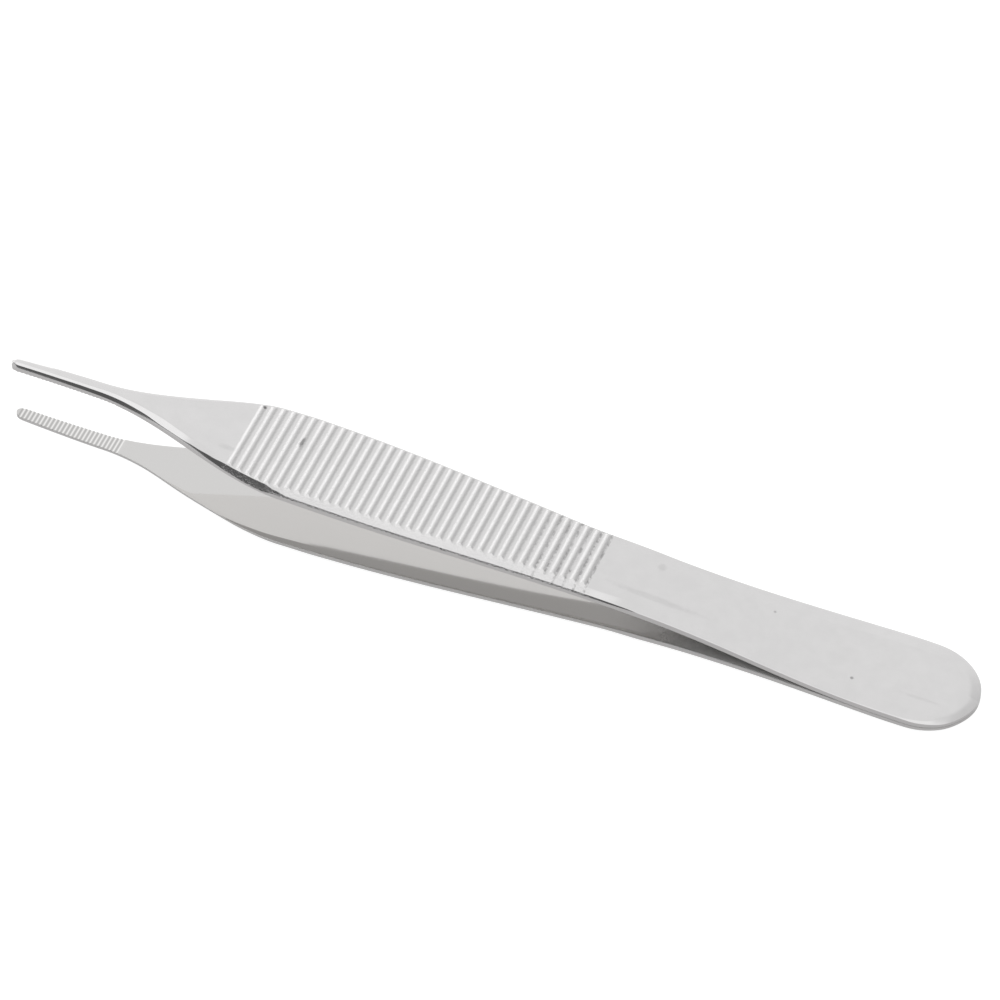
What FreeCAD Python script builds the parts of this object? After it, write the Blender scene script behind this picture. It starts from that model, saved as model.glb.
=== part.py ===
"""Thumb forceps with fine serrated jaws: two spring steel arms, mirror images, welded face to face at the tail.

Millimetres, +Z up. The forceps lies on the outer face of its lower arm, as it comes to rest on a table.
+X runs from the jaw tips to the welded tail, and the arms spring open up and down. The origin is on the table,
below the middle of the whole instrument.

Each arm is first modelled in the frame of the weld: x = 0 at the jaw tips, z = 0 on the parting plane.
"""

import FreeCAD
import Part
import math
import os

from FreeCAD import Vector

# Lengths along the forceps, measured from the jaw tips
length = 120.0
jaw_straight = 10.9
shoulder_start = 36.3
shoulder_end = 39.0
waist_at = 82.5
tail_full_at = 111.8

# Widths of the arms, and the lengths of their rounded ends
tip_width = 1.35
jaw_width = 1.81
shoulder_width = 12.74
waist_width = 9.31
tail_width = 11.95
tip_nose = 0.96
tail_nose = 6.75

# Bends of an arm, seen from the side
bow_at = 49.1
bow_radius = 1130.0
weld_bend_from_tail = 18.6
weld_bend_radius = 192.0
arm_slope = 4.08
jaw_slope = 0.59

# Thickness of an arm, from its inner face to its outer face
tip_thickness = 1.15
bow_thickness = 1.3
tail_thickness = 0.9

# The long outer edges are worked off all round: how far in from the side, how deep, and how full, where a
# fullness of 1 is a straight bevel and 2 is a quarter ellipse
jaw_edge_in = 0.45
jaw_edge_depth = 0.45
jaw_edge_fullness = 1.4
shoulder_edge_in = 0.65
shoulder_edge_depth = 0.7
shoulder_edge_fullness = 1.1
grip_edge_in = 1.8
grip_edge_depth = 0.62
grip_edge_fullness = 2.0
tail_edge_in = 1.7
tail_edge_depth = 0.25
tail_edge_fullness = 2.0

# Where along the arm each of those edges is reached, and where it starts to change into the next
shoulder_edge_from = 31.0
shoulder_edge_to = 34.0
grip_edge_from = 38.0
grip_edge_to = 70.0
tail_edge_from = 76.0

# Thumb grip: rounded ribs across the outer face, left standing between milled grooves
rib_count = 36
rib_first = 29.55
rib_pitch = 1.245
rib_width = 0.9
rib_height = 0.17
rib_end = 0.3

# Jaw serration: V-shaped teeth across the inner face
tooth_count = 26
tooth_first = 0.39
tooth_pitch = 0.506
tooth_depth = 0.17

# How the solids are worked out, not sizes of the forceps
face_trim = 0.015
overrun = 1.0
nose_angles = (0.0, 20.0, 36.0, 50.0, 62.0, 72.0, 80.0, 86.0)
section_gap = 1.8
edge_flats = 5
rib_flats = 6
rib_root = 0.3


def smooth_step(x, x0, x1, y0, y1):
    """Cubic blend from y0 to y1 with level ends, held at y0 before x0 and at y1 after x1."""
    t = min(max((x - x0) / (x1 - x0), 0.0), 1.0)
    return y0 + (y1 - y0) * t * t * (3.0 - 2.0 * t)


def body_half_width(x):
    """Half the arm's width without its rounded ends: tapered jaw, flare, shoulder, waist and tail."""
    if x < jaw_straight:
        return 0.5 * (tip_width + (jaw_width - tip_width) * x / jaw_straight)
    if x < shoulder_end:
        return 0.5 * smooth_step(x, jaw_straight, shoulder_start, jaw_width, shoulder_width)
    if x < waist_at:
        return 0.5 * smooth_step(x, shoulder_end, waist_at, shoulder_width, waist_width)
    return 0.5 * smooth_step(x, waist_at, tail_full_at, waist_width, tail_width)


def half_width(x):
    """Half the arm's width, with half-ellipse ends at the tip and the tail."""
    tip_part = max(tip_nose - x, 0.0) / tip_nose
    tail_part = max(x - length + tail_nose, 0.0) / tail_nose
    return body_half_width(x) * math.sqrt(1.0 - tip_part**2 - tail_part**2)


def edge_value(x, jaw, shoulder, grip, tail):
    """One measure of the worked-off edge at x, blended from each zone's value to the next zone's."""
    if x < shoulder_edge_to:
        return smooth_step(x, jaw_straight, shoulder_edge_from, jaw, shoulder)
    if x < grip_edge_to:
        return smooth_step(x, shoulder_edge_to, grip_edge_from, shoulder, grip)
    return smooth_step(x, grip_edge_to, tail_edge_from, grip, tail)


def grip_share(x):
    """1 along the ribs and 0 away from them, with a blend of one rib pitch at each end."""
    before = rib_first - rib_pitch
    after = rib_first + rib_count * rib_pitch
    into_grip = smooth_step(x, before - rib_pitch, before, 0.0, 1.0)
    out_of_grip = smooth_step(x, after, after + rib_pitch, 0.0, 1.0)
    return into_grip - out_of_grip


def face_line(tail_off, bow_off, tip_off):
    """Corners of one face of the arm, tail to tip, at the given heights off its inner face."""
    weld_x = length - weld_bend_from_tail
    bow_z = (weld_x - bow_at) * math.tan(math.radians(arm_slope))
    tip_z = bow_z + bow_at * math.tan(math.radians(jaw_slope))
    return [
        Vector(length, 0, tail_off),
        Vector(weld_x, 0, tail_off),
        Vector(bow_at, 0, bow_z + bow_off),
        Vector(0, 0, tip_z + tip_off),
    ]


def corner_arc(before, corner, after, radius):
    """Start, middle and end of the arc that rounds a corner with the given radius."""
    to_before = (before - corner).normalize()
    to_after = (after - corner).normalize()
    half_angle = 0.5 * to_before.getAngle(to_after)
    start = corner + to_before * (radius / math.tan(half_angle))
    end = corner + to_after * (radius / math.tan(half_angle))
    inward = (to_before + to_after).normalize()
    return start, corner + inward * (radius / math.sin(half_angle) - radius), end


def line_edges(line, jaw_points=()):
    """Straight runs and tangent arcs along a face, with the jaw's run taken through the given points."""
    tail, weld, bow, tip = line
    weld_arc = corner_arc(tail, weld, bow, weld_bend_radius)
    bow_arc = corner_arc(weld, bow, tip, bow_radius)
    edges = [
        Part.makeLine(tail, weld_arc[0]),
        Part.Arc(*weld_arc).toShape(),
        Part.makeLine(weld_arc[2], bow_arc[0]),
        Part.Arc(*bow_arc).toShape(),
    ]
    stops = [bow_arc[2], *jaw_points, tip]
    return edges + [Part.makeLine(a, b) for a, b in zip(stops, stops[1:])]


def height_on(edges, x):
    """Height above the parting plane where a face's edges pass x."""
    plumb = Part.makeLine(Vector(x, 0, -length), Vector(x, 0, length))
    hits = [edge.distToShape(plumb) for edge in edges]
    nearest = min(hits, key=lambda hit: hit[0])
    return nearest[1][0][0].z


def edged_section(x, inner_edges, outer_edges):
    """Closed cross-section at x: straight walls, worked-off edges of small flats, and a top that clears the ribs.

    The edge is a superellipse of the fullness given. Between the edge and the ribs' height lies the slope that
    ends each rib. Near a rounded end the whole top sinks by the same curve, so that the edge carries on round it.
    """
    half = half_width(x)
    edge_in = edge_value(x, jaw_edge_in, shoulder_edge_in, grip_edge_in, tail_edge_in)
    depth = edge_value(x, jaw_edge_depth, shoulder_edge_depth, grip_edge_depth, tail_edge_depth)
    fullness = edge_value(x, jaw_edge_fullness, shoulder_edge_fullness, grip_edge_fullness, tail_edge_fullness)
    share = grip_share(x)
    wall_top = height_on(outer_edges, x) - depth
    past = max(1.0 - min(x, length - x) / edge_in, 0.0)
    sink = (1.0 - past**fullness) ** (1.0 / fullness)
    edge_rise = (depth + face_trim * (1.0 - 2.0 * share)) * sink
    crown_rise = (depth + face_trim + rib_height * share) * sink
    base = height_on(inner_edges, x) - overrun
    side = min(edge_in, 0.8 * half)
    slope = min(rib_end, 0.5 * (half - side))

    right = [Vector(x, half, base)]
    for i in range(edge_flats + 1):
        turn = 0.5 * math.pi * i / edge_flats
        y = half - side * (1.0 - max(math.cos(turn), 0.0) ** (2.0 / fullness))
        right.append(Vector(x, y, wall_top + edge_rise * math.sin(turn) ** (2.0 / fullness)))
    right.append(Vector(x, half - side - slope, wall_top + crown_rise))
    left = [Vector(x, -point.y, point.z) for point in reversed(right)]
    return Part.makePolygon(right + left + right[:1])


def stations():
    """Places of the cross-sections: at every change of form, and evenly spaced between."""
    tip = [tip_nose * (1.0 - math.sin(math.radians(a))) for a in reversed(nose_angles)]
    tail = [length - tail_nose * (1.0 - math.sin(math.radians(a))) for a in nose_angles]
    grip_start = rib_first - rib_pitch
    grip_end = rib_first + rib_count * rib_pitch
    changes = [jaw_straight, grip_start - rib_pitch, grip_start, shoulder_edge_from, shoulder_edge_to,
               shoulder_start, 0.5 * (shoulder_edge_to + grip_edge_from), grip_edge_from, shoulder_end,
               grip_edge_to, grip_end, grip_end + rib_pitch, tail_edge_from, waist_at, tail_full_at]
    stops = [tip[-1]] + sorted(x for x in changes if tip[-1] < x < tail[0]) + [tail[0]]
    body = []
    for start, end in zip(stops, stops[1:]):
        count = max(math.ceil((end - start) / section_gap), 1)
        body += [start + (end - start) * i / count for i in range(1, count)] + [end]
    return tip + body[:-1] + tail


def tooth_points():
    """Zigzag of the jaw teeth, from the rearmost valley's edge to the tip."""
    line = face_line(0.0, 0.0, 0.0)
    slope = (line[3].z - line[2].z) / line[2].x
    points = []
    for i in range(tooth_count, 0, -1):
        crest_x = tooth_first + i * tooth_pitch
        valley_x = crest_x - 0.5 * tooth_pitch
        points.append(Vector(crest_x, 0, line[3].z - slope * crest_x))
        points.append(Vector(valley_x, 0, line[3].z - slope * valley_x + tooth_depth))
    points.append(Vector(tooth_first, 0, line[3].z - slope * tooth_first))
    return points


def rib_profiles(outer_edges):
    """The ribs seen from the side: each a low circular arc of small flats, with its root inside the arm."""
    radius = (0.25 * rib_width**2 + rib_height**2) / (2.0 * rib_height)
    reach = math.asin(0.5 * rib_width / radius)
    ribs = []
    for i in range(rib_count):
        x = rib_first + i * rib_pitch
        middle = Vector(x, 0, height_on(outer_edges, x) + rib_height - radius)
        turns = [reach * (2.0 * flat / rib_flats - 1.0) for flat in range(rib_flats + 1)]
        crest = [middle + Vector(math.sin(turn), 0, math.cos(turn)) * radius for turn in turns]
        root = [crest[-1] - Vector(0, 0, rib_root), crest[0] - Vector(0, 0, rib_root)]
        ribs.append(Part.Face(Part.makePolygon(crest + root + crest[:1])))
    return ribs


def side_slab():
    """The arm's exact side view, with its bends, thickness, ribs and jaw teeth, as wide as the widest part."""
    inner = line_edges(face_line(0.0, 0.0, 0.0), tooth_points())
    outer = line_edges(face_line(tail_thickness, bow_thickness, tip_thickness))
    tip_end = Part.makeLine(inner[-1].Vertexes[-1].Point, outer[-1].Vertexes[-1].Point)
    tail_end = Part.makeLine(inner[0].Vertexes[0].Point, outer[0].Vertexes[0].Point)
    outline = Part.Wire(Part.__sortEdges__(inner + [tip_end] + outer + [tail_end]))
    side_view = Part.Face(outline).fuse(rib_profiles(outer)).removeSplitter()
    reach = 0.5 * max(shoulder_width, tail_width, waist_width) + overrun
    side_view.translate(Vector(0, -reach, 0))
    return side_view.extrude(Vector(0, 2 * reach, 0))


def make_arm():
    """Upper arm in the frame of the weld: the edged form, trimmed to its side view."""
    inner_edges = line_edges(face_line(0.0, 0.0, 0.0))
    outer_edges = line_edges(face_line(tail_thickness, bow_thickness, tip_thickness))
    sections = [edged_section(x, inner_edges, outer_edges) for x in stations()]
    return Part.makeLoft(sections, True, True).common(side_slab())


def rest_tilt():
    """Angle that brings the lower arm down on its tail end and on the rib that reaches out furthest."""
    outer_edges = line_edges(face_line(tail_thickness, bow_thickness, tip_thickness))
    tail_x = length - tail_edge_in
    slopes = []
    for i in range(rib_count):
        x = rib_first + i * rib_pitch
        slopes.append((height_on(outer_edges, x) + rib_height - tail_thickness) / (tail_x - x))
    return math.degrees(math.atan(max(slopes)))


def lay_down(shapes):
    """Tilt the closed pair to its rest on the table and centre it over the origin."""
    for shape in shapes:
        shape.rotate(Vector(0, 0, 0), Vector(0, 1, 0), rest_tilt())
    box = Part.makeCompound(shapes).optimalBoundingBox(False)
    for shape in shapes:
        shape.translate(Vector(-box.Center.x, 0, -box.ZMin))


upper_arm = make_arm()
lower_arm = upper_arm.mirror(Vector(0, 0, 0), Vector(0, 0, 1))
lay_down([upper_arm, lower_arm])

os.makedirs("parts", exist_ok=True)
for name, shape in (("upper_arm", upper_arm), ("lower_arm", lower_arm)):
    shape.exportStep("parts/%s.step" % name)
    print(name, "valid", shape.isValid(), "solids", len(shape.Solids), "volume", round(shape.Volume, 3))
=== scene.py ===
"""Looks of a pair of thumb forceps with fine serrated jaws, laid out as a Blender add-on and run as a script.

Each arm is one surface worked out with numpy: a cross-section carried along the arm, with the hand-ground outer
edges, the milled thumb ribs and the jaw teeth in its heights. Metres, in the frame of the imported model.
"""

import math

import bmesh
import bpy
import numpy as np
from mathutils import Matrix, Vector


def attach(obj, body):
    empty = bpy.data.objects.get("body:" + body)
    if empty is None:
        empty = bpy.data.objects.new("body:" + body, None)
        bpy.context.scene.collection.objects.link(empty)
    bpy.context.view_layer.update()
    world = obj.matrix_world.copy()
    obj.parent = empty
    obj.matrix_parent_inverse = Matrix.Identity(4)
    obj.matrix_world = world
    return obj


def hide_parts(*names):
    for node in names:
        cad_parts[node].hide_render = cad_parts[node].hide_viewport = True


bl_info = {
    "name": "Thumb forceps",
    "version": (1, 0, 0),
    "blender": (4, 5, 0),
    "location": "3D View > Sidebar > Forceps",
    "description": "Builds a pair of ribbed thumb forceps in polished steel and the table it lies on",
    "category": "Object",
}

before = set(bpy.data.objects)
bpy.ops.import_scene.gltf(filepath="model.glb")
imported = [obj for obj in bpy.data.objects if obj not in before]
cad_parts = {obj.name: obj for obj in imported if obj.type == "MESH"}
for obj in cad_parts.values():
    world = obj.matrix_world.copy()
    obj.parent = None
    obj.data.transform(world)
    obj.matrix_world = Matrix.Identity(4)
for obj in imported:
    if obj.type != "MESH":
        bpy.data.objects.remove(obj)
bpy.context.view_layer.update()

MM = 0.001

# The long outer edges of the arms as they were ground by hand. Columns, in mm but for the fullness: place behind the
# tip; how far in and how deep the steep edge is; its fullness, where 1 is a flat facet; how far in and how deep the
# gentle bevel above it is; how long the ends of the ribs are.
FULLNESS_COLUMN = 3
NEAR_EDGE = (
    (0.5, 0.20, 0.30, 1.05, 0.50, 0.26, 0.28),
    (6.0, 0.20, 0.28, 1.05, 0.50, 0.25, 0.28),
    (9.0, 0.23, 0.28, 1.05, 0.54, 0.26, 0.28),
    (14.0, 0.26, 0.34, 1.05, 0.72, 0.31, 0.28),
    (17.0, 0.24, 0.34, 1.05, 0.84, 0.36, 0.28),
    (20.0, 0.12, 0.18, 1.05, 0.95, 0.42, 0.28),
    (22.5, 0.11, 0.17, 1.05, 0.92, 0.37, 0.28),
    (25.0, 0.19, 0.29, 1.05, 0.95, 0.26, 0.28),
    (27.0, 0.27, 0.42, 1.03, 0.95, 0.14, 0.20),
    (29.5, 0.44, 0.62, 1.02, 0.52, 0.02, 0.26),
    (32.5, 0.52, 0.78, 1.02, 0.57, 0.0, 0.26),
    (34.3, 0.54, 0.80, 1.02, 0.59, 0.0, 0.26),
    (35.8, 0.27, 0.42, 1.02, 0.70, 0.10, 0.26),
    (37.4, 0.13, 0.22, 1.03, 0.95, 0.28, 0.28),
    (50.0, 0.12, 0.20, 1.03, 1.00, 0.33, 0.28),
    (75.5, 0.12, 0.20, 1.03, 1.05, 0.33, 0.28),
    (81.0, 0.05, 0.02, 1.1, 1.60, 0.24, 0.28),
    (102.0, 0.05, 0.02, 1.1, 1.60, 0.20, 0.28),
    (112.0, 0.12, 0.03, 1.05, 1.60, 0.17, 0.28),
    (115.5, 0.40, 0.09, 1.05, 1.90, 0.20, 0.28),
    (117.5, 0.90, 0.19, 1.05, 2.40, 0.22, 0.28),
    (119.5, 1.00, 0.20, 1.05, 2.40, 0.22, 0.28),
)
LOWER_NEAR_EDGE = (
    (0.5, 0.46, 0.52, 1.05, 0.60, 0.20, 0.28),
    (9.0, 0.54, 0.64, 1.05, 0.72, 0.16, 0.28),
    (16.5, 0.58, 0.68, 1.05, 0.84, 0.20, 0.28),
    (22.5, 0.56, 0.66, 1.05, 0.90, 0.26, 0.28),
    (28.5, 0.74, 0.88, 1.05, 0.84, 0.08, 0.26),
    (32.6, 0.70, 0.84, 1.02, 0.75, 0.0, 0.26),
    (36.5, 0.54, 0.64, 1.02, 0.80, 0.08, 0.26),
    (41.0, 0.38, 0.46, 1.03, 0.95, 0.20, 0.28),
    (75.5, 0.28, 0.34, 1.03, 1.05, 0.30, 0.28),
    (81.0, 0.14, 0.16, 1.1, 1.60, 0.24, 0.28),
    (111.0, 0.30, 0.16, 1.05, 1.60, 0.17, 0.28),
    (119.0, 1.00, 0.26, 1.05, 2.40, 0.22, 0.28),
)
FAR_EDGE = (
    (0.5, 0.12, 0.24, 1.1, 0.45, 0.26, 0.28),
    (12.0, 0.22, 0.28, 1.1, 0.42, 0.10, 0.28),
    (22.0, 0.18, 0.22, 1.1, 0.50, 0.14, 0.28),
    (29.0, 0.14, 0.16, 1.1, 0.30, 0.06, 0.15),
    (38.0, 0.08, 0.10, 1.1, 0.20, 0.04, 0.15),
    (74.0, 0.08, 0.10, 1.1, 0.20, 0.04, 0.15),
    (82.0, 0.06, 0.05, 1.1, 1.60, 0.17, 0.28),
    (111.0, 0.30, 0.06, 1.05, 1.60, 0.17, 0.28),
    (119.0, 1.20, 0.30, 1.05, 2.50, 0.24, 0.28),
)

# What the grinding left beyond the even width, in mm: place behind the tip and how much wider that side is
EVEN_SIDE = ((0.0, 0.0), (120.0, 0.0))
UPPER_NEAR_SIDE = ((112.0, 0.0), (117.5, 0.0), (120.0, -0.40))
UPPER_FAR_SIDE = ((30.0, 0.0), (35.0, -0.36), (70.0, -0.36), (80.0, 0.0))
LOWER_NEAR_SIDE = (
    (1.0, 0.12), (9.0, 0.20), (16.5, 0.20), (22.5, 0.40), (28.5, 0.30), (33.0, 0.25), (44.0, 0.14), (80.0, 0.10),
    (110.0, 0.0), (117.5, 0.0), (120.0, -0.40))
ARM_SIDES = {
    "upper_arm": ((NEAR_EDGE, UPPER_NEAR_SIDE), (FAR_EDGE, UPPER_FAR_SIDE)),
    "lower_arm": ((LOWER_NEAR_EDGE, LOWER_NEAR_SIDE), (FAR_EDGE, EVEN_SIDE)),
}

# How far each jaw's tip reaches beyond the even one, in mm
TIP_REACH = {"upper_arm": 0.36, "lower_arm": 0.0}

# Stains and handling marks, in mm in the frame of the part: place, size along and across the arm, and the share of
# the steel's colour that is left
OUTER_MARKS = (
    ((-29.76, 4.79), (0.28, 0.28), 0.35),
    ((-23.74, 1.69), (0.30, 0.90), 0.50),
    ((-31.2, -2.5), (1.3, 0.5), 0.92),
    ((21.5, -2.0), (6.5, 0.55), 0.92),
    ((20.6, 2.6), (0.6, 0.7), 0.90),
    ((34.5, 2.4), (0.25, 0.25), 0.70),
    ((45.8, -2.8), (0.26, 0.26), 0.55),
    ((54.0, -2.5), (3.0, 0.3), 0.95),
)
MARK_RIM = 0.5 * MM
MARK_FADE = (0.8, 1.6)

# Where fine textures start and stop along the arm, in metres in the frame of the part, and the sizes of their grain
RIBS_START = (-31.2 * MM, -30.6 * MM)
RIBS_STOP = (14.1 * MM, 14.7 * MM)
CUTTER_GRAIN = 0.22 * MM
CUTTER_DEPTH = 0.07 * MM
GRIME_START = (3.0 * MM, 9.0 * MM)
GRIME_STOP = (14.1 * MM, 14.4 * MM)
GRIME_GRAIN = 0.9 * MM
MOTTLE_GRAIN = 2.5 * MM
MOTTLE_SHARES = (0.975, 1.01)
# The film in the wedge is partly real smudges and partly painted shade, darker and duller toward the weld
FILM_START = (18.5 * MM, 40.0 * MM)
FILM_GRAIN = 1.2 * MM
FILM_RAGGED = 9.0 * MM
FILM_DULLS = 0.7
FILM_AND_WEDGE_SHADE_DARKENS = 0.12

# Bends of an arm seen from the side, in degrees
ARM_SLOPE = 4.08
JAW_SLOPE = 0.59

# How finely the surfaces are divided
STEPS_PER_RIB = 14
STEPS_PER_TOOTH = 8
STEPS_ROUND_NOSE = 18
STEP_ALONG_FLARE = 0.28 * MM
STEP_ALONG_TAIL = 0.42 * MM
STEPS_INNER = 8
STEPS_CORNER = 4
WALL_ROWS = (0.06, 0.5, 0.94, 1.0)
STEPS_EDGE = 8
BEVEL_ROWS = (0.03, 0.2, 0.4, 0.6, 0.8, 1.0)
STEPS_RIB_END = 6
STEPS_CROWN = 6
SHARP_ANGLE = 30.0

# Camera, from the photograph's perspective
VIEW_AZIMUTH = 24.4597
VIEW_ELEVATION = 48.2471
VIEW_ROLL = -2.5947
VIEW_DISTANCE = 786.191 * MM
VIEW_TARGET = Vector((0.0033, 3.9916, 7.2555)) * MM
VIEW_LENS = 245.813
SENSOR_WIDTH = 36.0

# Light: the table's own glow to the camera, its glow as the steel shows it, painted light behind the forceps and a
# painted shade of their shadow in front, where it goes from one to the other, the room's level, and the room's
# panels.
# Each panel is a direction, the cosines where it starts and is full, and its level.
TABLE_REACH = 3.0
TABLE_COLOUR = "9A9A9A"
TABLE_GLOW = 0.9
# Seen only in the steel, the table is painted darker in front of the forceps as their shadow and brighter behind them
TABLE_CHANGE = (-1.0 * MM, 6.0 * MM)
TABLE_PAINTED_GLOW_BEHIND = 1.14
TABLE_PAINTED_SHADE_IN_FRONT = 0.44
ROOM_LEVEL = 0.945
ROOM_PANELS = (
    ((1.0, 0.2, 0.3), (0.3, 0.95), 0.61),
    ((-0.80, 0.55, 0.22), (0.58, 0.80), 1.02),
    ((-0.80, 0.55, 0.22), (0.80, 1.0), 1.34),
    ((-0.35, -0.30, 0.885), (0.915, 0.97), 1.18),
    ((0.12, -0.10, 0.985), (0.93, 0.985), 1.10),
    ((0.1, -0.98, 0.12), (0.72, 0.81), 0.12),
    ((-0.7, -0.70, 0.10), (0.78, 0.88), 0.12),
)


def length(name, default_mm, description):
    """A size of the forceps, given in millimetres and kept in metres."""
    return bpy.props.FloatProperty(
        name=name, description=description, default=default_mm * MM, min=0.0, unit="LENGTH", precision=5)


def finish(name, default, description):
    """A roughness, strength or share of the finish, from 0 to 1."""
    return bpy.props.FloatProperty(name=name, description=description, default=default, min=0.0, max=1.0)


def colour(name, default_hex, description):
    """A colour given as an sRGB hex value and kept as the linear value that the shaders use."""
    return bpy.props.FloatVectorProperty(
        name=name, description=description, default=linear(default_hex), size=3, min=0.0, max=1.0, subtype="COLOR")


def linear(hex_code):
    """Linear RGB of an sRGB hex value, channel by channel."""
    channels = [int(hex_code[i:i + 2], 16) / 255.0 for i in (0, 2, 4)]
    return [c / 12.92 if c <= 0.04045 else ((c + 0.055) / 1.055) ** 2.4 for c in channels]


class ForcepsSizes(bpy.types.PropertyGroup):
    """Sizes of one arm; places along the arm are measured from the jaw tips."""

    total_length: length("Length", 120.0, "From the jaw tips to the end of the tail")
    jaw_straight: length("Straight jaw", 10.9, "Where the narrow jaw starts to flare")
    shoulder_start: length("Shoulder start", 36.3, "Where the flare reaches its full width")
    shoulder_end: length("Shoulder end", 39.0, "Where the grip starts to narrow")
    waist_at: length("Waist place", 82.5, "Where the arm is narrowest behind the grip")
    tail_full_at: length("Tail place", 111.8, "Where the tail reaches its full width")
    tip_width: length("Tip width", 1.35, "Width of the jaw at its tip")
    jaw_width: length("Jaw width", 1.81, "Width of the jaw where it starts to flare")
    shoulder_width: length("Shoulder width", 12.74, "Widest part of the grip")
    waist_width: length("Waist width", 9.31, "Narrowest part behind the grip")
    tail_width: length("Tail width", 11.95, "Widest part of the welded tail")
    tip_nose: length("Tip nose", 0.96, "Length of the half-ellipse at the tip")
    tail_nose: length("Tail nose", 6.75, "Length of the half-ellipse at the tail")

    bow_at: length("Bow place", 49.1, "Middle of the bend under the thumb")
    bow_radius: length("Bow radius", 1130.0, "Radius of the bend under the thumb")
    weld_bend_from_tail: length("Weld bend", 18.6, "Middle of the bend in front of the weld, from the tail's end")
    weld_bend_radius: length("Weld bend radius", 192.0, "Radius of the bend in front of the weld")
    tip_thickness: length("Tip thickness", 1.15, "Thickness of the arm at the jaw tip")
    bow_thickness: length("Bow thickness", 1.3, "Thickness of the arm under the thumb")
    tail_thickness: length("Tail thickness", 0.9, "Thickness of the arm at the weld")

    inner_corner: length("Inner corner", 0.05, "Radius of the broken corner along the inner face")
    tip_lean: length("Tip lean", 0.38, "How far each jaw's tip leans in toward the other")
    tip_reach_from: length("Tip reach from", 4.0, "How far behind the tip a jaw starts to reach further")
    tip_lean_from: length("Tip lean from", 12.0, "How far behind the tip the lean starts")

    rib_count: bpy.props.IntProperty(name="Ribs", description="Ribs across each thumb grip", default=36, min=2)
    rib_first: length("First rib", 29.62, "Place of the front rib")
    rib_pitch: length("Rib pitch", 1.243, "From one rib to the next")
    rib_width: length("Rib width", 0.98, "Width of a rib at its foot")
    rib_height: length("Rib height", 0.17, "How far a rib stands above its grooves")
    rib_soft: length("Rib softness", 0.02, "How softly a rib's foot and ends run out")

    tooth_count: bpy.props.IntProperty(name="Teeth", description="Teeth of each jaw", default=26, min=2)
    tooth_first: length("First tooth", 0.39, "Where the teeth start behind the tip")
    tooth_pitch: length("Tooth pitch", 0.506, "From one tooth to the next")
    tooth_depth: length("Tooth depth", 0.085, "Depth of the valleys between the teeth")

    tail_rest: length("Tail rest", 1.7, "How far in front of the tail's end it touches the table")


class ForcepsFinish(bpy.types.PropertyGroup):
    """Finish of the steel."""

    steel: colour("Buffed steel", "DCDBDB", "Reflected colour of the buffed outer faces")
    inner_steel: colour("Mirror steel", "D2D1D0", "Reflected colour of the polished inner faces")
    ground_steel: colour("Ground steel", "D1CFCF", "Reflected colour of the ground side walls")
    buffed: finish("Buffed", 0.11, "Roughness of the outer face")
    mirror: finish("Mirror", 0.05, "Roughness of the inner face")
    ground: finish("Ground", 0.22, "Roughness of the side walls")
    chatter: finish("Cutter marks", 0.7, "Strength of the fine cutter marks on the ribs")
    grime: finish("Grime", 0.38, "Share of the colour that grime takes in the last grooves")
    grime_phase: bpy.props.FloatProperty(
        name="Grime phase", description="Where in each groove the grime lies, in radians", default=0.79)
    grime_pitch: length("Grime pitch", 1.243, "From one groove with grime to the next")
    smudge: length("Smudge", 5.0, "Size of the handling smudges on the flat faces")


def smooth_step(x, x0, x1, y0, y1):
    """Cubic blend from y0 to y1 with level ends, held at y0 before x0 and at y1 after x1."""
    t = np.clip((x - x0) / (x1 - x0), 0.0, 1.0)
    return y0 + (y1 - y0) * t * t * (3.0 - 2.0 * t)


def body_half_width(s, x):
    """Half the width without the rounded ends: tapered jaw, then cubic blends to shoulder, waist and tail."""
    jaw = 0.5 * (s.tip_width + (s.jaw_width - s.tip_width) * x / s.jaw_straight)
    flare = 0.5 * smooth_step(x, s.jaw_straight, s.shoulder_start, s.jaw_width, s.shoulder_width)
    grip = 0.5 * smooth_step(x, s.shoulder_end, s.waist_at, s.shoulder_width, s.waist_width)
    tail = 0.5 * smooth_step(x, s.waist_at, s.tail_full_at, s.waist_width, s.tail_width)
    return np.select([x < s.jaw_straight, x < s.shoulder_end, x < s.waist_at], [jaw, flare, grip], tail)


def nose_parts(s, x):
    """How far x lies into the rounded tip and into the rounded tail, from 0 at the root to 1 at the end."""
    tip = np.clip((s.tip_nose - x) / s.tip_nose, 0.0, 1.0)
    tail = np.clip((x - s.total_length + s.tail_nose) / s.tail_nose, 0.0, 1.0)
    return tip, tail


def nose_share(s, x):
    """Share of the width that is left at x: the height of a unit circle at each nose, 1 between them."""
    tip, tail = nose_parts(s, x)
    return np.sqrt(np.clip(1.0 - tip**2 - tail**2, 0.0, 1.0))


def edge_distance(s, x, y, body):
    """Distance in plan from a point to the outline: across the arm along its sides, first order round its noses."""
    tip, tail = nose_parts(s, x)
    across = np.abs(y) / body
    gap = body - np.abs(y)
    for part, nose in ((tip, s.tip_nose), (tail, s.tail_nose)):
        level = np.sqrt(part**2 + across**2)
        gradient = np.sqrt((part / nose) ** 2 + (across / body) ** 2) / np.maximum(level, 1e-9)
        nose_gap = (1.0 - level) / np.maximum(gradient, 1e-9)
        gap = np.where((part > 0.0) & (level > 0.3), nose_gap, gap)
    return np.maximum(gap, 0.0)


def along(x, table, column):
    """A column of a hand-ground table at x: cubic blends from place to place, held beyond the ends."""
    value = table[0][column] + 0.0 * x
    for here, ahead in zip(table, table[1:]):
        blend = smooth_step(x, here[0] * MM, ahead[0] * MM, here[column], ahead[column])
        value = np.where(x >= here[0] * MM, blend, value)
    return value if column == FULLNESS_COLUMN else value * MM


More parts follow.
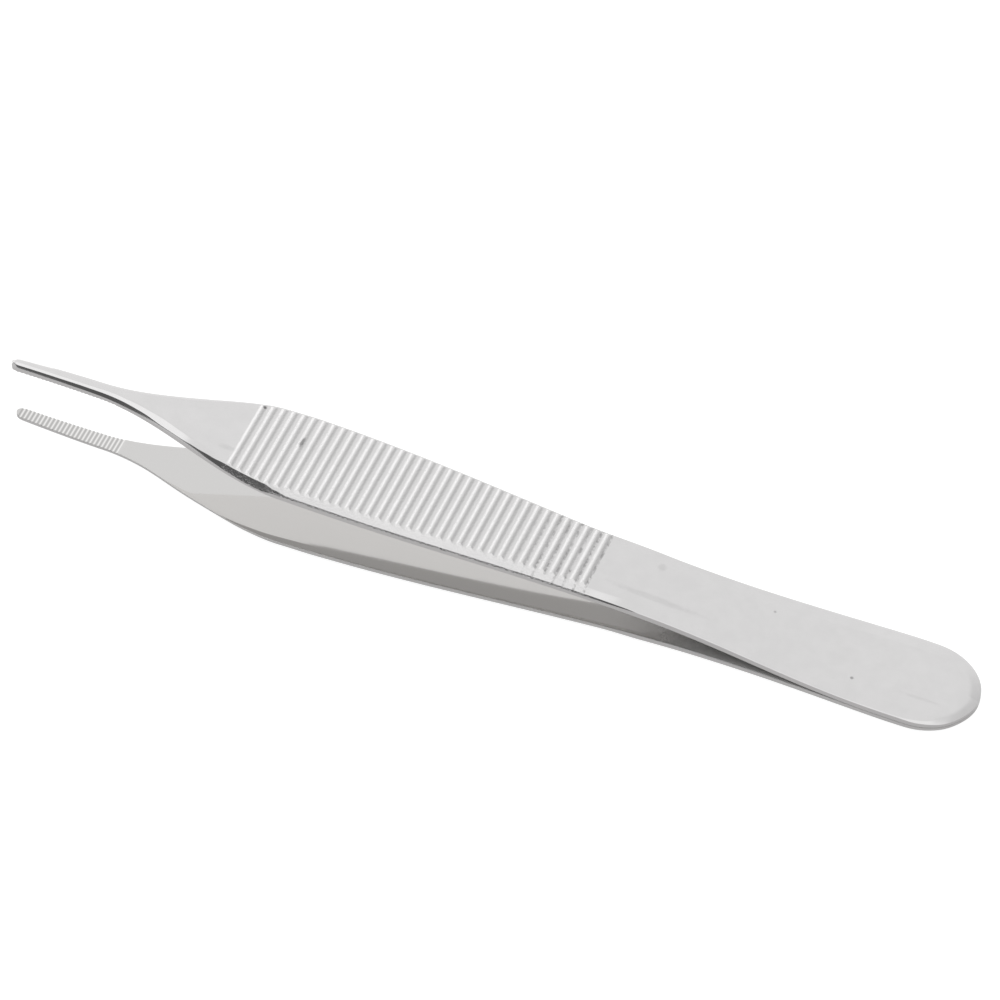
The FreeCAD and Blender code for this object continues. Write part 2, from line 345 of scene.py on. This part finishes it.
def bent_height(s, x, offsets):
    """Height of a face along the arm: straight runs from tail to tip, each bend a parabola as wide as its arc."""
    tail_off, bow_off, tip_off = offsets
    weld_x = s.total_length - s.weld_bend_from_tail
    bow_z = (weld_x - s.bow_at) * math.tan(math.radians(ARM_SLOPE))
    tip_z = bow_z + s.bow_at * math.tan(math.radians(JAW_SLOPE))
    arm = (bow_z + bow_off - tail_off) / (weld_x - s.bow_at)
    jaw = (tip_z + tip_off - bow_z - bow_off) / s.bow_at

    def ramp(reach, turn, radius):
        half = 0.5 * radius * abs(turn)
        blend = (reach + half) ** 2 / (4.0 * half)
        return turn * np.where(reach < -half, 0.0, np.where(reach > half, reach, blend))

    return tail_off + ramp(weld_x - x, arm, s.weld_bend_radius) + ramp(s.bow_at - x, jaw - arm, s.bow_radius)


def soft_least(a, b, blend):
    """The lower of two heights, with the corner where they meet rounded over the blend's length."""
    share = np.clip(0.5 + 0.5 * (a - b) / blend, 0.0, 1.0)
    return a * (1.0 - share) + b * share - blend * share * (1.0 - share)


def rib_lift(s, x):
    """Height of the ribs above the grooves: one raised cosine per rib, as wide as its foot."""
    index = np.clip(np.round((x - s.rib_first) / s.rib_pitch), 0, s.rib_count - 1)
    off = (x - s.rib_first) - index * s.rib_pitch
    share = np.clip(np.abs(off) / (0.5 * s.rib_width), 0.0, 1.0)
    return 0.5 * s.rib_height * (1.0 + np.cos(math.pi * share))


def tooth_cut(s, x):
    """Depth of the jaw teeth: a cosine wave, level with the inner face at each crest."""
    phase = (x - s.tooth_first) / s.tooth_pitch
    wave = 0.5 - 0.5 * np.cos(2.0 * math.pi * phase)
    return s.tooth_depth * np.where((phase > 0.0) & (phase < s.tooth_count), wave, 0.0)


def outer_height(s, x, y, body, edge):
    """Outer face: the lower of the edged form and the ribbed side view.

    The edge rises from the wall as a superellipse of its fullness and the bevel goes on from it as a flat slope.
    Behind the bevel a steeper slope ends the ribs.
    """
    edge_in, depth, full, bevel_in, fall, end = edge
    top = bent_height(s, x, (s.tail_thickness, s.bow_thickness, s.tip_thickness))
    inward = edge_distance(s, x, y, body)
    past = np.clip(1.0 - inward / edge_in, 0.0, 1.0)
    bevelled = fall * (1.0 - inward / bevel_in)
    rib_end = s.rib_height * (1.0 - inward / bevel_in) * bevel_in / end
    fallen = np.where(inward < bevel_in, bevelled, rib_end)
    edged = top - fallen - depth * (1.0 - (1.0 - past**full) ** (1.0 / full))
    return soft_least(edged, top + rib_lift(s, x), s.rib_soft)


def stations(s):
    """Places of the cross-sections along the arm: close at the noses, teeth and ribs, wider elsewhere."""
    turn = np.linspace(0.0, 0.5 * math.pi, STEPS_ROUND_NOSE + 1)
    tip = s.tip_nose * (1.0 - np.sin(turn))
    tail = s.total_length - s.tail_nose * (1.0 - np.sin(turn))
    teeth_end = s.tooth_first + s.tooth_count * s.tooth_pitch
    teeth = np.linspace(s.tooth_first, teeth_end, s.tooth_count * STEPS_PER_TOOTH + 1)
    ribs_start = s.rib_first - s.rib_pitch / 2
    ribs_end = s.rib_first + (s.rib_count - 0.5) * s.rib_pitch
    ribs = np.linspace(ribs_start, ribs_end, s.rib_count * STEPS_PER_RIB + 1)
    flare = np.arange(teeth_end, ribs_start, STEP_ALONG_FLARE)
    handle = np.arange(ribs_end, tail[0], STEP_ALONG_TAIL)
    x = np.unique(np.round(np.concatenate([tip, teeth, flare, ribs, handle, tail]), 8))
    apart = np.concatenate([[True], np.diff(x) > 1e-7])
    return x[apart]


def half_section(s, x, side, table, wider):
    """Half of each cross-section, as points from the middle of the inner face round to the middle of the outer one.

    It runs along the inner face, round its broken corner, up the wall, over the worked-off edge and across the
    outer face. The side is -1 for the near half and 1 for the far one.
    """
    body = body_half_width(s, x) + along(x, wider, 1)
    half = body * nose_share(s, x)
    inner = bent_height(s, x, (0.0, 0.0, 0.0)) + tooth_cut(s, x)
    edge = [along(x, table, column) for column in range(1, len(table[0]))]
    edge_in, depth, full, bevel_in, fall, end = edge
    wall_top = bent_height(s, x, (s.tail_thickness, s.bow_thickness, s.tip_thickness)) - depth - fall
    corner = np.minimum(s.inner_corner, 0.5 * half)
    worked = np.minimum(edge_in, 0.8 * half)
    bevel = np.clip(bevel_in, worked, 0.85 * half) - worked
    end = np.minimum(end, 0.6 * (half - worked - bevel))

    inner_y = (half - corner) * np.linspace(0.0, 1.0, STEPS_INNER + 1)[None, :]
    inner_z = inner + 0.0 * inner_y
    turn = np.linspace(0.0, 0.5 * math.pi, STEPS_CORNER + 1)[None, 1:]
    corner_y = half - corner + corner * np.sin(turn)
    corner_z = inner + corner * (1.0 - np.cos(turn))
    up = np.array(WALL_ROWS)[None, :]
    wall_y = half + 0.0 * up
    wall_z = inner + corner + (wall_top - inner - corner) * up
    turn = np.linspace(0.0, 0.5 * math.pi, STEPS_EDGE + 1)[None, 1:]
    edge_y = half - worked * (1.0 - np.maximum(np.cos(turn), 0.0) ** (2.0 / full))
    bevel_y = half - worked - bevel * np.array(BEVEL_ROWS)[None, :]
    end_y = half - worked - bevel - end * np.linspace(0.0, 1.0, STEPS_RIB_END + 1)[None, 1:]
    crown_y = (half - worked - bevel - end) * (1.0 - np.linspace(0.0, 1.0, STEPS_CROWN + 1)[None, 1:])
    top_y = np.concatenate([edge_y, bevel_y, end_y, crown_y], axis=1)
    top_z = outer_height(s, x, top_y, body, edge)

    y = side * np.concatenate([inner_y, corner_y, wall_y, top_y], axis=1)
    z = np.concatenate([inner_z, corner_z, wall_z, top_z], axis=1)
    return np.stack([x + 0.0 * y, y, z], axis=2)


def arm_grid(s, node):
    """An arm with its outer face up, in the frame of the weld: stations along x, once round the section across."""
    x = stations(s)[:, None]
    near_side, far_side = ARM_SIDES[node]
    near = half_section(s, x, -1.0, *near_side)
    far = half_section(s, x, 1.0, *far_side)
    middle = 0.5 * (near[:, -1:] + far[:, -1:])
    points = np.concatenate([far[:, :-1], middle, near[:, -2:0:-1]], axis=1)
    points[..., 0] -= TIP_REACH[node] * MM * np.clip(1.0 - x / s.tip_reach_from, 0.0, 1.0) ** 2
    points[..., 2] -= s.tip_lean * np.clip(1.0 - x / s.tip_lean_from, 0.0, 1.0) ** 2
    return points


def rest_tilt(s):
    """Angle of the pair on the table: steepest line from where the tail rests to any rib crest of the lower arm."""
    crest_x = s.rib_first + np.arange(s.rib_count) * s.rib_pitch
    crest_z = bent_height(s, crest_x, (s.tail_thickness, s.bow_thickness, s.tip_thickness)) + s.rib_height
    tail_x = s.total_length - s.tail_rest
    return float(np.arctan(np.max((crest_z - s.tail_thickness) / (tail_x - crest_x))))


def laid_pair(s):
    """Both arms' points on the table: turned about Y by the rest tilt, and centred along X over the origin."""
    tilt = rest_tilt(s)
    pair = {}
    for node, turned_over in (("upper_arm", 1.0), ("lower_arm", -1.0)):
        points = arm_grid(s, node)
        z = turned_over * points[..., 2]
        pair[node] = np.stack([points[..., 0] * math.cos(tilt) + z * math.sin(tilt), points[..., 1],
                               z * math.cos(tilt) - points[..., 0] * math.sin(tilt)], axis=-1)
    both = np.concatenate([points.reshape(-1, 3) for points in pair.values()])
    low, high = both.min(axis=0), both.max(axis=0)
    middle = np.array([0.5 * (low[0] + high[0]), 0.0, low[2]])
    return {node: points - middle for node, points in pair.items()}


def grid_mesh(name, points, flip):
    """Smooth mesh of a grid whose columns run round a section, drawn in at each end to a line in the middle plane."""
    rows, columns = points.shape[:2]
    index = np.arange(rows * columns).reshape(rows, columns)
    here, ahead = index[:-1], index[1:]
    quads = np.stack([here, ahead, np.roll(ahead, -1, axis=1), np.roll(here, -1, axis=1)], axis=-1).reshape(-1, 4)
    if flip:
        quads = quads[:, ::-1]
    mesh = bpy.data.meshes.new(name)
    mesh.from_pydata(points.reshape(-1, 3).tolist(), [], quads.tolist())
    mesh.polygons.foreach_set("material_index", np.tile(section_zones(), rows - 1).astype(np.int32))
    mesh.polygons.foreach_set("use_smooth", np.ones(len(mesh.polygons), dtype=bool))
    bm = bmesh.new()
    bm.from_mesh(mesh)
    bmesh.ops.remove_doubles(bm, verts=bm.verts, dist=2e-7)
    bmesh.ops.dissolve_degenerate(bm, edges=bm.edges, dist=1e-8)
    bm.to_mesh(mesh)
    bm.free()
    mesh.validate()
    return mesh


def add_node(tree, kind, inputs=None, links=None, **settings):
    """One shader node with its settings, its sockets' values and the links that come into it."""
    node = tree.nodes.new(kind)
    for key, value in settings.items():
        setattr(node, key, value)
    for socket, value in (inputs or {}).items():
        node.inputs[socket].default_value = value
    for socket, source in (links or {}).items():
        tree.links.new(source, node.inputs[socket])
    return node


def steel_material(name, tint, roughness, smudge):
    """Bare stainless steel of one finish, whose gloss varies softly where it was handled."""
    material = bpy.data.materials.new(name)
    material.use_nodes = True
    tree = material.node_tree
    tree.nodes.clear()
    place = add_node(tree, "ShaderNodeTexCoord").outputs["Object"]
    smudges = add_node(
        tree, "ShaderNodeTexNoise", {"Scale": 1.0 / smudge, "Detail": 4.0, "Roughness": 0.6}, {"Vector": place})
    gloss = add_node(
        tree, "ShaderNodeMapRange",
        {"From Min": 0.35, "From Max": 0.7, "To Min": roughness * 0.85, "To Max": roughness * 1.2},
        {"Value": smudges.outputs["Fac"]})
    shader = add_node(
        tree, "ShaderNodeBsdfPrincipled", {"Base Color": (*tint, 1.0), "Metallic": 1.0},
        {"Roughness": gloss.outputs["Result"]})
    add_node(tree, "ShaderNodeOutputMaterial", links={"Surface": shader.outputs["BSDF"]})
    return material, place, shader


def math_node(tree, operation, *terms):
    """Result of one sum on two or three values, each a socket or a number."""
    values = {key: value for key, value in enumerate(terms) if isinstance(value, float)}
    links = {key: value for key, value in enumerate(terms) if not isinstance(value, float)}
    return add_node(tree, "ShaderNodeMath", values, links, operation=operation).outputs[0]


def blend_node(tree, value, low, high, start, end):
    """Smooth change from start to end while the value goes from low to high."""
    ends = {"From Min": low, "From Max": high, "To Min": start, "To Max": end}
    node = add_node(
        tree, "ShaderNodeMapRange", ends, {"Value": value}, interpolation_type="SMOOTHSTEP")
    return node.outputs["Result"]


def noise_node(tree, place, size, detail):
    """Noise whose largest blots are about as wide as the size."""
    node = add_node(
        tree, "ShaderNodeTexNoise", {"Scale": 1.0 / size, "Detail": detail, "Roughness": 0.65}, {"Vector": place})
    return node.outputs["Fac"]


def tinted(tree, shader, tint, share):
    """Lets only a share of the steel's colour through."""
    colour_node = add_node(tree, "ShaderNodeVectorMath", {0: tint}, {1: share}, operation="MULTIPLY")
    tree.links.new(colour_node.outputs["Vector"], shader.inputs["Base Color"])


def mark_share(tree, place, marks):
    """Share of the colour that the marks leave: each is an ellipse in plan with a ragged, soft rim."""
    ragged = noise_node(tree, place, MARK_RIM, 4.0)
    share = 1.0
    for (x, y), (along_size, across_size), left in marks:
        offset = add_node(
            tree, "ShaderNodeVectorMath", {1: (x * MM, y * MM, 0.0)}, {0: place}, operation="SUBTRACT")
        scaled = add_node(
            tree, "ShaderNodeVectorMath", {1: (1.0 / (along_size * MM), 1.0 / (across_size * MM), 0.0)},
            {0: offset.outputs["Vector"]}, operation="MULTIPLY")
        away = add_node(
            tree, "ShaderNodeVectorMath", links={0: scaled.outputs["Vector"]}, operation="LENGTH").outputs["Value"]
        reached = math_node(tree, "ADD", away, ragged)
        share = math_node(tree, "MULTIPLY", blend_node(tree, reached, *MARK_FADE, left, 1.0), share)
    return share


def cutter_bump(tree, place, along_arm, f):
    """Normal of the fine cutter marks, over the ribs alone."""
    ribbed = math_node(
        tree, "MULTIPLY", blend_node(tree, along_arm, *RIBS_START, 0.0, 1.0),
        blend_node(tree, along_arm, *RIBS_STOP, 1.0, 0.0))
    grain = noise_node(tree, place, CUTTER_GRAIN, 2.0)
    strength = math_node(tree, "MULTIPLY", ribbed, f.chatter)
    bump = add_node(
        tree, "ShaderNodeBump", {"Distance": CUTTER_DEPTH}, {"Strength": strength, "Height": grain})
    return bump.outputs["Normal"]


def grime_share(tree, place, along_arm, f):
    """Share of the colour that the grime takes: lines along the last grooves before the tail, in patches."""
    wave = math_node(tree, "MULTIPLY_ADD", along_arm, 2.0 * math.pi / f.grime_pitch, f.grime_phase)
    groove = blend_node(tree, math_node(tree, "SINE", wave), 0.5, 1.0, 0.0, 1.0)
    grimy = math_node(
        tree, "MULTIPLY", blend_node(tree, along_arm, *GRIME_START, 0.0, 1.0),
        blend_node(tree, along_arm, *GRIME_STOP, 1.0, 0.0))
    patchy = blend_node(tree, noise_node(tree, place, GRIME_GRAIN, 3.0), 0.40, 0.62, 0.0, f.grime)
    return math_node(tree, "MULTIPLY", math_node(tree, "MULTIPLY", groove, grimy), patchy)


def buffed_steel(f):
    """Martensitic stainless steel, forged, its ribs milled, then bead blasted and buffed."""
    material, place, shader = steel_material("buffed_steel", f.steel, f.buffed, f.smudge)
    tree = material.node_tree
    along_arm = add_node(tree, "ShaderNodeSeparateXYZ", links={"Vector": place}).outputs["X"]
    tree.links.new(cutter_bump(tree, place, along_arm, f), shader.inputs["Normal"])
    clean = math_node(tree, "SUBTRACT", 1.0, grime_share(tree, place, along_arm, f))
    mottle = blend_node(tree, noise_node(tree, place, MOTTLE_GRAIN, 5.0), 0.3, 0.7, *MOTTLE_SHARES)
    clean_and_mottled = math_node(tree, "MULTIPLY", clean, mottle)
    share = math_node(tree, "MULTIPLY", clean_and_mottled, mark_share(tree, place, OUTER_MARKS))
    tinted(tree, shader, f.steel, share)
    return material


def mirror_steel(f):
    """The same steel, mirror polished on the inner faces, with a dull, darker film in the wedge: partly real smudges,
    partly painted shade that deepens toward the weld where the arms close.
    """
    material, place, shader = steel_material("mirror_steel", f.inner_steel, f.mirror, f.smudge)
    tree = material.node_tree
    along_arm = add_node(tree, "ShaderNodeSeparateXYZ", links={"Vector": place}).outputs["X"]
    blots = math_node(tree, "MULTIPLY_ADD", noise_node(tree, place, FILM_GRAIN, 4.0), FILM_RAGGED, along_arm)
    # Film of real smudges and painted shade, growing toward the weld where the wedge between the arms closes
    film_and_wedge_shade = blend_node(tree, blots, *FILM_START, 0.0, 1.0)
    metal = math_node(tree, "SUBTRACT", 1.0, math_node(tree, "MULTIPLY", film_and_wedge_shade, FILM_DULLS))
    tree.links.new(metal, shader.inputs["Metallic"])
    tinted(tree, shader, f.inner_steel, math_node(tree, "SUBTRACT", 1.0, math_node(
        tree, "MULTIPLY", film_and_wedge_shade, FILM_AND_WEDGE_SHADE_DARKENS)))
    return material


def ground_steel(f):
    """The same steel, belt ground along the side walls."""
    return steel_material("ground_steel", f.ground_steel, f.ground, f.smudge)[0]


def section_zones():
    """Which finish each strip round the section has: 0 outer face and edge, 1 inner face, 2 wall."""
    top = STEPS_EDGE + len(BEVEL_ROWS) + STEPS_RIB_END + STEPS_CROWN
    half = [1] * (STEPS_INNER + STEPS_CORNER) + [2] * len(WALL_ROWS) + [0] * top
    return np.array(half + half[::-1])


def build_arm(context, node):
    """Builds one arm's piece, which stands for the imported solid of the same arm."""
    points = laid_pair(context.scene.forceps_sizes)[node]
    mesh = grid_mesh(node + "_steel", points, flip=(node == "lower_arm"))
    mesh.set_sharp_from_angle(angle=math.radians(SHARP_ANGLE))
    f = context.scene.forceps_finish
    for maker in (buffed_steel, mirror_steel, ground_steel):
        have = bpy.data.materials.get(maker.__name__)
        mesh.materials.append(have or maker(f))
    piece = bpy.data.objects.new(node + "_steel", mesh)
    context.collection.objects.link(piece)
    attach(piece, "root")
    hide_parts(node)
    return piece


class FORCEPS_OT_upper_arm(bpy.types.Operator):
    """Build the upper arm of the forceps"""

    bl_idname = "forceps.upper_arm"
    bl_label = "Upper arm"

    def execute(self, context):
        build_arm(context, "upper_arm")
        return {"FINISHED"}


class FORCEPS_OT_lower_arm(bpy.types.Operator):
    """Build the lower arm of the forceps"""

    bl_idname = "forceps.lower_arm"
    bl_label = "Lower arm"

    def execute(self, context):
        build_arm(context, "lower_arm")
        return {"FINISHED"}


class FORCEPS_OT_stage(bpy.types.Operator):
    """Set the table, the studio light and the camera"""

    bl_idname = "forceps.stage"
    bl_label = "Table, light and camera"

    def execute(self, context):
        make_table(context)
        make_room(context)
        make_camera(context)
        return {"FINISHED"}


def make_table(context):
    """White table, plain enough to vanish into the background but for the soft shadow of the forceps; in the steel it
    shows a painted shade in front of the forceps for their shadow, and painted light behind them.
    """
    mesh = bpy.data.meshes.new("table")
    corners = [(x * TABLE_REACH, y * TABLE_REACH, 0.0) for x, y in ((-1, -1), (1, -1), (1, 1), (-1, 1))]
    mesh.from_pydata(corners, [], [(0, 1, 2, 3)])
    table = bpy.data.objects.new("table", mesh)
    context.collection.objects.link(table)
    material = bpy.data.materials.new("white_laminate")
    material.use_nodes = True
    tree = material.node_tree
    tree.nodes.clear()
    path = add_node(tree, "ShaderNodeLightPath")
    mirrored = math_node(tree, "MAXIMUM", path.outputs["Is Glossy Ray"], path.outputs["Is Transmission Ray"])
    place = add_node(tree, "ShaderNodeTexCoord").outputs["Object"]
    across = add_node(tree, "ShaderNodeSeparateXYZ", links={"Vector": place}).outputs["Y"]
    # Painted shade in front of the forceps and painted light behind them, for glossy and transmission rays only
    painted_shade_sweep = blend_node(tree, across, *TABLE_CHANGE, TABLE_PAINTED_SHADE_IN_FRONT, TABLE_PAINTED_GLOW_BEHIND)
    painted_light_and_shade_in_steel = math_node(tree, "MULTIPLY", mirrored, painted_shade_sweep)
    strength = math_node(tree, "MULTIPLY_ADD", path.outputs["Is Camera Ray"], TABLE_GLOW, painted_light_and_shade_in_steel)
    glow = add_node(tree, "ShaderNodeEmission", links={"Strength": strength})
    board = add_node(tree, "ShaderNodeBsdfDiffuse", {"Color": (*linear(TABLE_COLOUR), 1.0)})
    both = add_node(tree, "ShaderNodeAddShader", links={0: board.outputs[0], 1: glow.outputs[0]})
    add_node(tree, "ShaderNodeOutputMaterial", links={"Surface": both.outputs[0]})
    mesh.materials.append(material)


def soft_panel(tree, direction, below, toward, edge, level):
    """Lays one soft panel of light over the room: gone below its first cosine, full from its second."""
    facing = add_node(
        tree, "ShaderNodeVectorMath", {1: Vector(toward).normalized()}, {0: direction}, operation="DOT_PRODUCT")
    share = blend_node(tree, facing.outputs["Value"], *edge, 0.0, 1.0)
    mix = add_node(tree, "ShaderNodeMix", {3: level}, {0: share, 2: below}, data_type="FLOAT")
    return mix.outputs[0]


def make_room(context):
    """White studio tent: brighter on the left and overhead, dimmer on the right, dark at the opening in front."""
    world = bpy.data.worlds.new("studio_tent")
    context.scene.world = world
    world.use_nodes = True
    tree = world.node_tree
    tree.nodes.clear()
    direction = add_node(tree, "ShaderNodeTexCoord").outputs["Generated"]
    level = add_node(tree, "ShaderNodeValue").outputs[0]
    level.default_value = ROOM_LEVEL
    for toward, edge, strength in ROOM_PANELS:
        level = soft_panel(tree, direction, level, toward, edge, strength)
    glow = add_node(
        tree, "ShaderNodeBackground", {"Color": (1.0, 1.0, 1.0, 1.0)}, {"Strength": level})
    add_node(tree, "ShaderNodeOutputWorld", links={"Surface": glow.outputs[0]})


def make_camera(context):
    """Long lens at the photograph's angle, turned a little about its own axis."""
    azimuth, elevation = math.radians(VIEW_AZIMUTH), math.radians(VIEW_ELEVATION)
    back = Vector((math.sin(azimuth) * math.cos(elevation), -math.cos(azimuth) * math.cos(elevation),
                   math.sin(elevation)))
    right = Vector((math.cos(azimuth), math.sin(azimuth), 0.0))
    up = back.cross(right)
    turn = Matrix((right, up, back)).transposed() @ Matrix.Rotation(math.radians(VIEW_ROLL), 3, "Z")
    data = bpy.data.cameras.new("camera")
    data.sensor_width = SENSOR_WIDTH
    data.lens = VIEW_LENS
    data.clip_start = 0.05
    data.clip_end = 20.0
    camera = bpy.data.objects.new("camera", data)
    camera.matrix_world = Matrix.Translation(VIEW_TARGET + back * VIEW_DISTANCE) @ turn.to_4x4()
    context.collection.objects.link(camera)
    context.scene.camera = camera
    context.scene.view_settings.view_transform = "Standard"


class FORCEPS_PT_panel(bpy.types.Panel):
    """Sidebar panel with the sizes, the finish and a button for each piece"""

    bl_idname = "FORCEPS_PT_panel"
    bl_label = "Thumb forceps"
    bl_space_type = "VIEW_3D"
    bl_region_type = "UI"
    bl_category = "Forceps"

    def draw(self, context):
        for group in (context.scene.forceps_sizes, context.scene.forceps_finish):
            column = self.layout.column(align=True)
            for name in group.bl_rna.properties.keys():
                if name not in {"rna_type", "name"}:
                    column.prop(group, name)
        for operator in OPERATORS:
            self.layout.operator(operator.bl_idname)


OPERATORS = (FORCEPS_OT_lower_arm, FORCEPS_OT_upper_arm, FORCEPS_OT_stage)
CLASSES = (ForcepsSizes, ForcepsFinish, *OPERATORS, FORCEPS_PT_panel)


def register():
    for item in CLASSES:
        bpy.utils.register_class(item)
    bpy.types.Scene.forceps_sizes = bpy.props.PointerProperty(type=ForcepsSizes)
    bpy.types.Scene.forceps_finish = bpy.props.PointerProperty(type=ForcepsFinish)


def unregister():
    del bpy.types.Scene.forceps_finish
    del bpy.types.Scene.forceps_sizes
    for item in reversed(CLASSES):
        bpy.utils.unregister_class(item)


def main():
    register()
    bpy.ops.forceps.lower_arm()
    bpy.ops.forceps.upper_arm()
    bpy.ops.forceps.stage()


if __name__ == "__main__":
    main()
